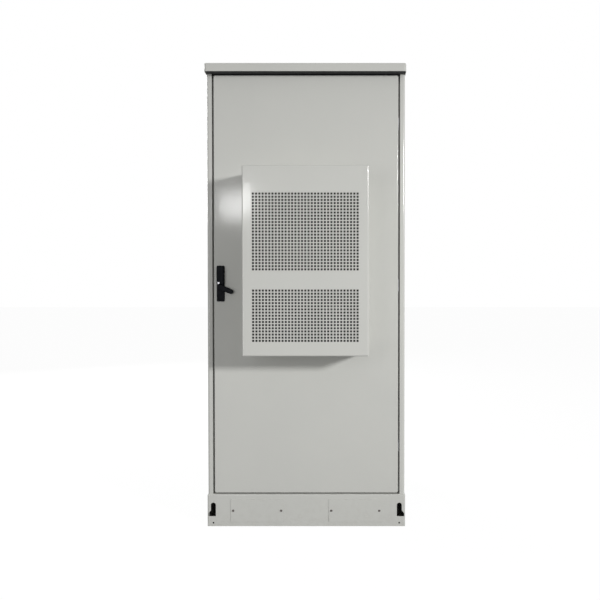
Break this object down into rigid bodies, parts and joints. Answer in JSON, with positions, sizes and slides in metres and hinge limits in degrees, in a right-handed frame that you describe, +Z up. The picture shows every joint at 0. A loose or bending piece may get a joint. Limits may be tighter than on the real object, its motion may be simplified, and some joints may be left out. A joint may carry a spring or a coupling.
{
  "type": "roadside utility cabinet",
  "caption": "Tall sheet steel outdoor cabinet on a plinth, with one hinged door, a swing-handle rod lock, a door-mounted air conditioner with punched grilles and rack rails inside.",
  "frame": {"origin": "middle of the plinth's underside, at the centre of the four anchor holes", "axes": "+Z up, the door faces -Y, +X to the right as the door is faced"},
  "size_m": [0.806, 1.01, 1.866],
  "materials": {
    "cabinet_paint": "satin powder coat",
    "zinc_steel": "zinc plated",
    "dark_plastic": "matt black",
    "black_enamel": "black enamel",
    "seal_rubber": "matt black",
    "bare_aluminium": "mill finish",
    "bar_copper": "bare copper",
    "red_insulator": "moulded resin",
    "key_steel": "chrome plated"
  },
  "bodies": {
    "cabinet": {"plinth": "cabinet_paint", "fork_cover_front_left": "cabinet_paint", "fork_cover_front_right": "cabinet_paint", "fork_cover_rear_left": "cabinet_paint", "fork_cover_rear_right": "cabinet_paint", "floor_panel": "cabinet_paint", "left_side_panel": "cabinet_paint", "right_side_panel": "cabinet_paint", "rear_panel": "cabinet_paint", "left_rear_post": "cabinet_paint", "right_rear_post": "cabinet_paint", "left_door_jamb": "cabinet_paint", "right_door_jamb": "cabinet_paint", "door_header": "cabinet_paint", "door_sill": "cabinet_paint", "top_panel": "cabinet_paint", "roof_cover": "cabinet_paint", "fork_cover_screws": "zinc_steel", "plinth_bolts": "zinc_steel", "roof_spacers": "zinc_steel", "front_left_rail": "zinc_steel", "front_right_rail": "zinc_steel", "rear_left_rail": "zinc_steel", "rear_right_rail": "zinc_steel", "hinge_frame_leaves": "zinc_steel", "upper_lock_catch": "zinc_steel", "lower_lock_catch": "zinc_steel", "gland_plate": "bare_aluminium", "cable_glands": "dark_plastic", "earth_bar": "bar_copper", "earth_bar_insulators": "red_insulator"},
    "door": {"door_panel": "cabinet_paint", "door_stiffeners": "cabinet_paint", "return_air_grille": "cabinet_paint", "supply_air_grille": "cabinet_paint", "ac_cover": "cabinet_paint", "door_gasket": "seal_rubber", "hinge_door_leaves": "zinc_steel", "hinge_pins": "zinc_steel", "gearbox_case": "zinc_steel", "gearbox_cover": "zinc_steel", "ac_cover_screws": "zinc_steel", "rod_guides": "dark_plastic", "handle_base": "dark_plastic", "ac_chassis": "black_enamel", "ac_partition": "black_enamel", "condenser_coil": "black_enamel", "compressor": "black_enamel", "condenser_fan_motor": "black_enamel", "blower_motor": "black_enamel", "evaporator_coil": "bare_aluminium"},
    "lever": {"swing_lever": "dark_plastic", "lock_pinion": "zinc_steel"},
    "upper_rod": {"upper_lock_rod": "zinc_steel"},
    "lower_rod": {"lower_lock_rod": "zinc_steel"},
    "key": {"key_plug": "key_steel"},
    "fan": {"condenser_fan": "dark_plastic"},
    "blower": {"blower_wheel": "bare_aluminium"}
  },
  "joints": [
    {"name": "door_swing", "type": "hinge", "parent": "cabinet", "child": "door", "pos_m": [0.367, -0.3904, 0.982], "axis": [0, 0, 1], "range_deg": [0, 105]},
    {"name": "lever_turn", "type": "hinge", "parent": "door", "child": "lever", "pos_m": [-0.3457, -0.39, 0.974], "axis": [0, -1, 0], "range_deg": [-67, 23]},
    {"name": "upper_rod_slide", "type": "slide", "parent": "door", "child": "upper_rod", "axis": [0, 0, 1], "range_m": [-0.00452, 0.01316]},
    {"name": "lower_rod_slide", "type": "slide", "parent": "door", "child": "lower_rod", "axis": [0, 0, 1], "range_m": [-0.0134, 0.0048]},
    {"name": "key_turn", "type": "hinge", "parent": "door", "child": "key", "pos_m": [-0.3523, -0.416, 0.9906], "axis": [0, -1, 0], "range_deg": [0, 90]},
    {"name": "condenser_fan_spin", "type": "hinge", "parent": "door", "child": "fan", "pos_m": [0.009, -0.52, 1.182], "axis": [0, -1, 0], "continuous": true},
    {"name": "blower_spin", "type": "hinge", "parent": "door", "child": "blower", "pos_m": [0.009, -0.45, 0.813], "axis": [0, -1, 0], "continuous": true}
  ],
  "couplings": [
    {"joint": "lever_turn", "follows": "upper_rod_slide", "rad_per_m": -88.889},
    {"joint": "lower_rod_slide", "follows": "upper_rod_slide", "ratio": -1}
  ]
}
